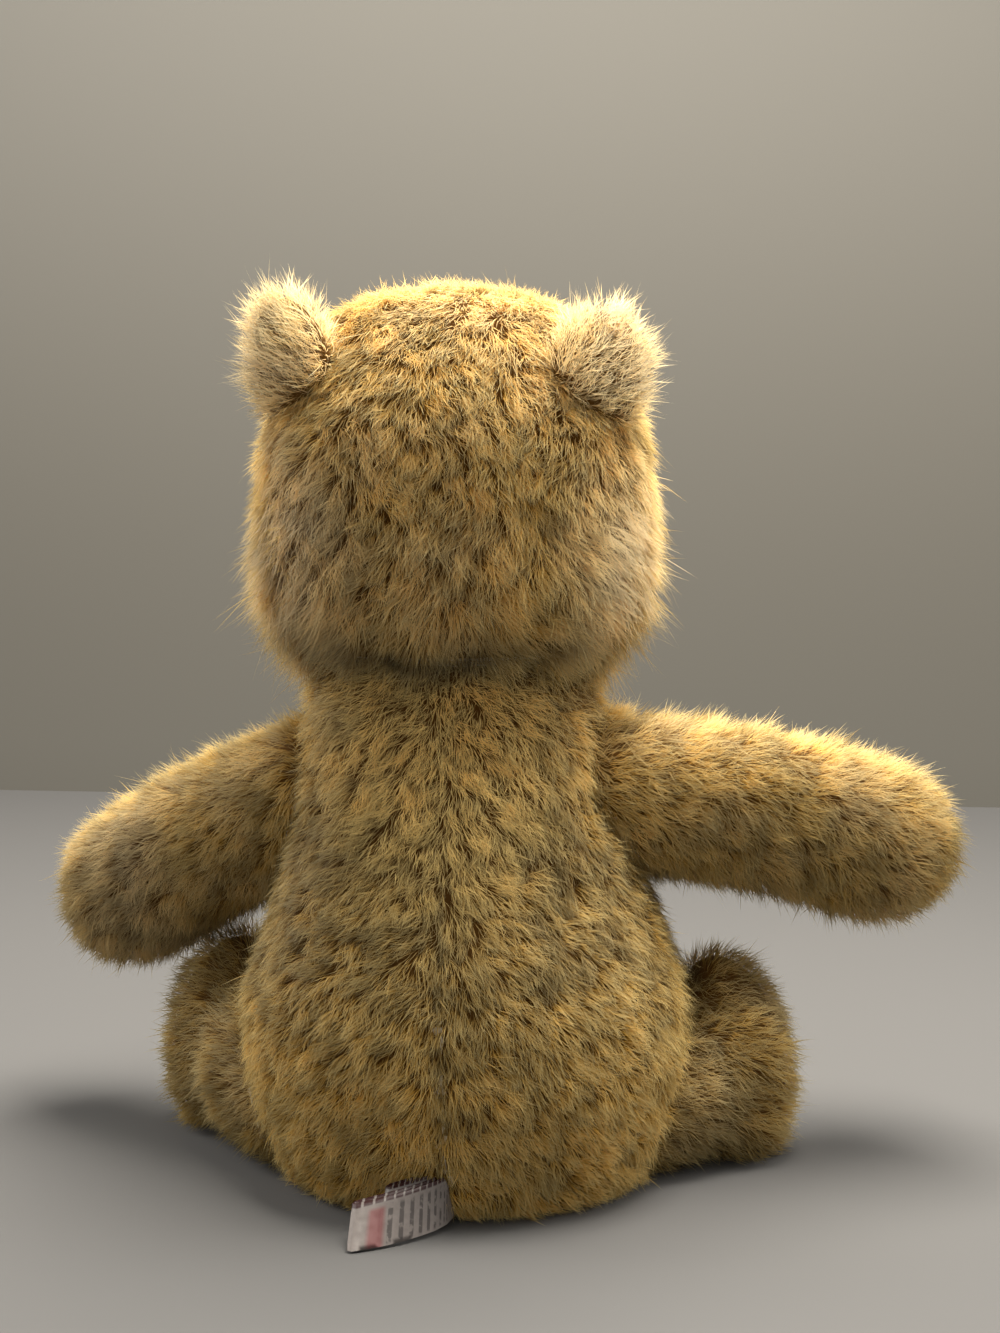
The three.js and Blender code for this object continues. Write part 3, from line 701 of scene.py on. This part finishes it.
# Patches are a centre, a radius and a share: the shoulders, crown and cheeks are painted light, the left paw and
# nape are rubbed.
SHOULDERS_PAINTED_LIGHT = ((0.005, 0.05, 0.14), 0.06, 1.0)
LEFT_PAW = ((0.128, -0.03, 0.085), 0.04, 0.45)
NAPE = ((0.005, 0.06, 0.19), 0.04, 0.3)
CROWN_HIGHLIGHT = ((-0.005, -0.02, 0.3), 0.055, 0.9)
LEFT_CHEEK_HIGHLIGHT, RIGHT_CHEEK_HIGHLIGHT = ((0.062, 0.015, 0.2), 0.05, 1.0), ((-0.056, 0, 0.205), 0.05, 0.9)
# The levels make lit and shaded copies of one coat, as painted light and shade: the ears, in their own paler golden
# colours, are lightest and the legs darkest.
torso_look = pile_finish("worn plush pile", *COAT, rgb(255, 226, 148), 0.3, [SHOULDERS_PAINTED_LIGHT], 0.82, seamed=True)
leg_look = pile_finish("worn leg pile", *COAT, GREY, 0.3, level=0.5)
arm_look = pile_finish("worn arm pile", *COAT, GREY, 0.4, [LEFT_PAW], 0.7)
head_look = pile_finish("worn head pile", *COAT, GREY, 0.3, [NAPE, CROWN_HIGHLIGHT, LEFT_CHEEK_HIGHLIGHT, RIGHT_CHEEK_HIGHLIGHT], 0.93)
ear_look = pile_finish("worn ear pile", rgb(150, 106, 54), rgb(244, 208, 140), rgb(255, 240, 192),
                       rgb(246, 226, 190), 0.6, level=1.2)
backing_look, at, plug = new_finish("plush backing", Roughness=0.95, Specular_IOR_Level=0.1)
plug("Base Color", at.noise(60, 4).mix(rgb(66, 42, 14), rgb(100, 70, 30)))
for cover in covers.values():
    cover.data.materials.append(backing_look)
print("pile finishes and backing made")

# %% [markdown]
# ## Combing
# Each panel of plush is cut so that its pile runs one way: down the back and parted at the seam, back
# over the crown, down and outwards over the cheeks, along each limb towards its end. A comb is a
# function that gives every root its way, its lean, its length, how much it gathers and how it frizzes.

# %% Comb the coat
HEAD_HALF = 0.062
FACE = (0.005, -0.075, 0.225)
EAR_ROOTS = (0.005, -0.02, 0.235)
MUZZLE_FRONT = (0.005, -0.1, 0.222)


def ramp(value, low, high):
    return np.clip((value - low) / (high - low), 0, 1)


def along_limb(start, end, lean, length, droop):
    """A comb that runs along a limb towards its end and a little down."""
    run = unit(np.array([end], float) - np.array([start], float))[0] + (0, 0, -droop)

    def comb(root, normal):
        ones = np.ones(len(root))
        return np.tile(run, (len(root), 1)), lean * ones, length * MM * ones, 0.7 * ones, 0.4 * ones
    return comb


def away_from(middle, lean, length, gather, frizz):
    """A comb that runs away from a place on all sides."""
    def comb(root, normal):
        ones = np.ones(len(root))
        return root - np.array(middle), lean * ones, length * MM * ones, gather * ones, frizz * ones
    return comb


def torso_comb(root, normal):
    ones = np.ones(len(root))
    x, y, z = root.T
    parted = np.tanh((x - seam_at(z)) / 0.012) * (0.9 - 0.45 * ramp(z, 0.05, 0.12))
    behind = ramp(y, -0.01, 0.03)
    way = np.stack([parted * behind + np.sign(x) * 0.3 * (1 - behind), 0 * ones, -ones], 1)
    collar = ramp(z, 0.145, 0.165)
    lean = 0.85 - 0.45 * collar
    length = (8 - 1.5 * collar) * MM
    return way, lean, length, 0.8 - 0.3 * collar, 0.26 + 0.2 * collar


def head_comb(root, normal):
    x, y, z = root.T
    x = (x - HEAD_ASIDE) / HEAD_HALF
    crown = ramp(z, 0.262, 0.285)
    low = 1 - ramp(z, 0.185, 0.235)
    cheek = low * ramp(np.abs(x), 0.3, 0.85)
    front = ramp(-y, 0.03, 0.06)[:, None]
    swirl = 0.3 * np.sin(x * 4 + z * 70) + 0.2 * np.sin(x * 9 - z * 130 + 1)
    way = np.stack([x * (0.35 + 0.8 * low) + swirl, 0.3 + 1.2 * crown, -1.0 + 0.7 * crown], 1)
    way = way * (1 - front) + unit(root - np.array(FACE)) * front
    around = np.arctan2(x, y / HEAD_HALF)
    ragged = low * (np.sin(around * 11) + np.sin(around * 23 + z * 300))
    lean = 0.8 + 0.25 * crown - 0.2 * cheek - 0.1 * low - 0.12 * ragged
    length = (8.5 + 5 * cheek + 2 * low + 1.5 * ragged) * MM * (1 - 0.3 * front[:, 0])
    return way, lean, length, 0.75 + 0.15 * cheek, 0.24 + 0.1 * low


ear_comb = away_from(EAR_ROOTS, 0.45, 7.5, 0.5, 0.6)
muzzle_comb = away_from(MUZZLE_FRONT, 0.95, 4.5, 0.6, 0.2)
print("combs for the torso, head, limbs, ears and muzzle")

# %% [markdown]
# ## Growing the coat
# The back, head and arms face the camera and grow the densest. The belly, the front of the head and
# the legs grow fewer strands, to stay within the number of triangles. No pile grows round the eyes,
# nose and mouth, where it is clipped short on such a bear. The lift tips a panel's shading up or down.

# %% Grow the coat
LIMBS = {
    "arm_left": ((42.5, -9, 128), (147.5, -69, 67)),
    "arm_right": ((-37.5, -9, 128), (-161.5, -55, 97)),
    "leg_left": ((47, -6, 27), (88, -41, 27)),
    "leg_right": ((-37, -6, 27), (-87, -26, 27)),
}
BELLY_EDGE = 0.012
HEAD_EDGE = -0.02
ON_HEAD = ["torso", "ear_left", "ear_right", "muzzle"]


def head_lift(root):
    """The crown and cheeks stand in the light from above."""
    return 0.5 * ramp(root[:, 2], 0.245, 0.28) + 0.6 * ramp(abs(root[:, 0] - HEAD_ASIDE), 0.035, 0.06)


grow_pile("pile_torso_back_left", "torso", ["arm_left", "leg_left", "head"], torso_comb, torso_look, 11,
          wanted=lambda at, facing: (at[:, 1] >= BELLY_EDGE) & (at[:, 0] >= 0))
grow_pile("pile_torso_back_right", "torso", ["arm_right", "leg_right", "head"], torso_comb, torso_look, 12,
          wanted=lambda at, facing: (at[:, 1] >= BELLY_EDGE) & (at[:, 0] < 0))
grow_pile("pile_torso_belly", "torso", [*LIMBS, "head"], torso_comb, torso_look, 13, per_mm2=1.3,
          wanted=lambda at, facing: at[:, 1] < BELLY_EDGE)
grow_pile("pile_head_back", "head", ON_HEAD, head_comb, head_look, 14, lift=head_lift,
          wanted=lambda at, facing: at[:, 1] >= HEAD_EDGE)
grow_pile("pile_head_front", "head", ON_HEAD, head_comb, head_look, 15, per_mm2=1.5,
          wanted=lambda at, facing: (at[:, 1] < HEAD_EDGE) & ~near_node(at, 1.5 * MM, "eye_left", "eye_right"))
for side, sign in SIDES.items():
    arm, leg, ear = "arm_" + side, "leg_" + side, "ear_" + side
    grow_pile("pile_" + arm, arm, ["torso"], along_limb(*LIMBS[arm], 0.6, 8, 0.6), arm_look, 20 + sign,
              lift=lambda root: -0.2)
    grow_pile("pile_" + leg, leg, ["torso"], along_limb(*LIMBS[leg], 0.65, 8, 0.4), leg_look, 30 + sign,
              per_mm2=1.7)
    grow_pile("pile_" + ear, ear, ["head"], ear_comb, ear_look, 40 + sign, lift=lambda root: 0.9)
grow_pile("pile_muzzle", "muzzle", ["head"], muzzle_comb, ear_look, 50,
          wanted=lambda at, facing: ~near_node(at, 4 * MM, "nose") & ~near_node(at, 2 * MM, "mouth_stitching"))
print("strands in all", sum(grown), "triangles", 2 * sum(grown))

# %% [markdown]
# ## Face
# Nothing of the face shows from behind, so it is kept plain: two domed buttons for eyes, which are the
# hard pieces of the model itself, and a nose and mouth sewn in dark thread. Each stitch is a round
# thread laid over the muzzle, so it is drawn as a curve on that form and given its thickness. The
# nose's stitches lie side by side over a little padding, and dive into the cloth at both ends.

# %% Thread
NOSE_THREAD, MOUTH_THREAD = 1.7 * MM, 1.8 * MM
NOSE_PADDING, MOUTH_LIFT = 1.6 * MM, 0.9 * MM
NOSE_TOP, NOSE_FOOT = 0.231, 0.2145
MOUTH_TOP, MOUTH_MIDDLE = 0.2165, 0.204
SMILE_HALF, SMILE_SAG = 10 * MM, 3 * MM
thread_look, at, plug = new_finish("dark brown thread", Roughness=0.55, Specular_IOR_Level=0.35)
twist = at.node("TexWave", {"bands_direction": "DIAGONAL"}, {"Vector": at, "Scale": 500.0, "Distortion": 1.0}, out=1)
plug("Base Color", twist.mix(rgb(40, 22, 12), rgb(74, 44, 26)))


def sewn(name, runs, thick, replaced):
    """Threads along runs of points, made as curves with a round bevel and then turned into a mesh."""
    curve = bpy.data.curves.new(name, "CURVE")
    curve.dimensions, curve.bevel_depth, curve.bevel_resolution, curve.use_fill_caps = "3D", thick / 2, 2, True
    for run in runs:
        line = curve.splines.new("POLY")
        line.points.add(len(run) - 1)
        line.points.foreach_set("co", np.append(run, np.ones((len(run), 1)), 1).astype(np.float32).ravel())
    threads = bpy.data.objects.new(name, curve)
    bpy.context.collection.objects.link(threads)
    only(threads)
    bpy.ops.object.convert(target="MESH")
    threads = bpy.context.object
    bpy.ops.object.shade_smooth()
    threads.data.materials.append(thread_look)
    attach(threads, "root")
    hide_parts(replaced)
    print(name, len(runs), "threads")


def laid_on(tree, x, heights, lifts):
    """Points on the front of a form at one x, from one height to another, each lifted off the form."""
    hits = [tree.ray_cast(Vector((x, -0.15, z)), Vector((0, 1, 0))) for z in heights]
    return np.array([hit[0] + hit[1] * lift for hit, lift in zip(hits, lifts) if hit[0] is not None])


nose_form, muzzle_form = tree_of(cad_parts["nose"].data), inside_of["muzzle"]
padding = NOSE_PADDING * np.sqrt(np.sin(np.linspace(0, np.pi, 20)))
stitches = []
for x in np.arange(-6, 16.6, 1.25) * MM:
    outline = laid_on(nose_form, x, np.linspace(NOSE_TOP, NOSE_FOOT, 60), np.zeros(60))
    if len(outline) > 5:
        stitches.append(laid_on(muzzle_form, x, np.linspace(outline[0, 2], outline[-1, 2], 20), padding))
sewn("nose_stitches", stitches, NOSE_THREAD, "nose")
mouth = [laid_on(muzzle_form, HEAD_ASIDE, np.linspace(MOUTH_TOP, MOUTH_MIDDLE, 12), np.full(12, MOUTH_LIFT))]
for sign in SIDES.values():
    smile = []
    for t in np.linspace(0, 1, 12):
        height = MOUTH_MIDDLE - SMILE_SAG * math.sin(t * math.pi * 0.75)
        smile.append(laid_on(muzzle_form, HEAD_ASIDE + sign * SMILE_HALF * t, [height], [MOUTH_LIFT]))
    mouth.append(np.concatenate(smile))
sewn("mouth_stitches", mouth, MOUTH_THREAD, "mouth_stitching")

# %% [markdown]
# ## Hard pieces and stuffing
# The eyes are polished plastic on a post, locked inside the head by a washer, and the stuffing is pale
# fibre. Their solids already have the right shape, so they only need their finish.

# %% Hard pieces and stuffing
eye_look, at, plug = new_finish("dark eye plastic", Roughness=0.08, Specular_IOR_Level=0.6, Coat_Weight=0.5)
plug("Base Color", at.noise(400).mix(rgb(22, 11, 6), rgb(38, 20, 10)))
washer_look, at, plug = new_finish("washer plastic", Roughness=0.4)
plug("Base Color", at.noise(300).mix(rgb(196, 194, 186), rgb(210, 208, 200)))
stuffing_look, at, plug = new_finish("stuffing", Roughness=0.95, Specular_IOR_Level=0.1)
plug("Base Color", at.noise(220, 4).mix(rgb(206, 194, 170), rgb(226, 216, 196)))
finished = []
for name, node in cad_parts.items():
    for part, look in (("eye_washer", washer_look), ("eye_", eye_look), ("stuffing", stuffing_look)):
        if part in name:
            node.data.materials.clear()
            node.data.materials.append(look)
            finished.append(name)
            break
print("finished", ", ".join(finished))

# %% [markdown]
# ## Labels
# Two ribbons are sewn into the back seam just above the seat, each folded on itself. They are thin
# woven satin with an overcast dark edge, so a copy of each ribbon is cut finer and rippled a little.
# Each point then keeps its place along and up the ribbon, which the print and the edge follow. The
# print is only hinted at, by grey bars and one pink field.

# %% Ribbons
RIPPLE = 0.35
LEAN = math.radians(42)


def ribbon_finish(name, printed):
    look, at, plug = new_finish(name, Roughness=0.45, Specular_IOR_Level=0.4)
    along, up = at.attribute("along"), at.attribute("up")
    # Painted shade: the satin, white in itself, is given a darkened grey for the shade it lies in under the bear.
    colour = at.noise(900, 2).mix(rgb(112, 104, 100), rgb(130, 122, 117))
    if printed:
        lines = (along * 75.0).sine().between(0.0, 0.5) * at.noise(420, 2).between(0.38, 0.5)
        inside = up.between(0.04, 0.1) * up.between(0.84, 0.76) * along.between(0.86, 0.84)
        colour = (lines * inside * 0.75).mix(colour, rgb(52, 47, 46))
        pink = along.between(0.8, 0.83) * along.between(0.93, 0.9) * up.between(0.82, 0.74)
        colour = (pink * 0.8).mix(colour, rgb(118, 66, 66))
    stitch = (along * 90.0).sine().between(-0.95, -0.6)
    plug("Base Color", (up.between(0.86, 0.89) * stitch).mix(colour, rgb(46, 14, 14)))
    return look


def ribbon(node_name, look, seam, out, back, height, fall):
    """A rippled satin ribbon cut from a copy of its CAD node, which starts at the seam, reaches out and
    back by so many millimetres and falls from its height on the way."""
    label = copy_joined(node_name + "_ribbon", [node_name])
    bpy.ops.object.mode_set(mode="EDIT")
    bpy.ops.mesh.select_all(action="SELECT")
    bpy.ops.mesh.tris_convert_to_quads()
    bpy.ops.mesh.subdivide(number_cuts=2)
    bpy.ops.object.mode_set(mode="OBJECT")
    places = places_of(label.data) / MM
    along = np.sqrt(np.clip((places[:, 0] - seam) / out, 0, 1))
    share = np.hypot(out * along**2, back * along) / math.hypot(out, back)
    rise = (places[:, 2] - height + fall * share) / np.cos(LEAN * share)
    up = (rise - rise.min()) / np.ptp(rise)
    places[:, 1] += RIPPLE * np.sin(along * 9 + up * 2) * along
    set_places(label.data, places * MM)
    store(label.data, along=along, up=up)
    bpy.ops.object.shade_smooth_by_angle(angle=math.radians(40))
    label.data.materials.append(look)
    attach(label, "root")
    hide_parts(node_name)
    print(label.name, "area", round(sum(face.area for face in label.data.polygons) * 1e6), "mm2")


ribbon("care_label", ribbon_finish("printed ribbon", True), seam=-1.6, out=27, back=22, height=9, fall=4)
ribbon("size_label", ribbon_finish("plain ribbon", False), seam=1.6, out=15, back=9, height=13, fall=3)
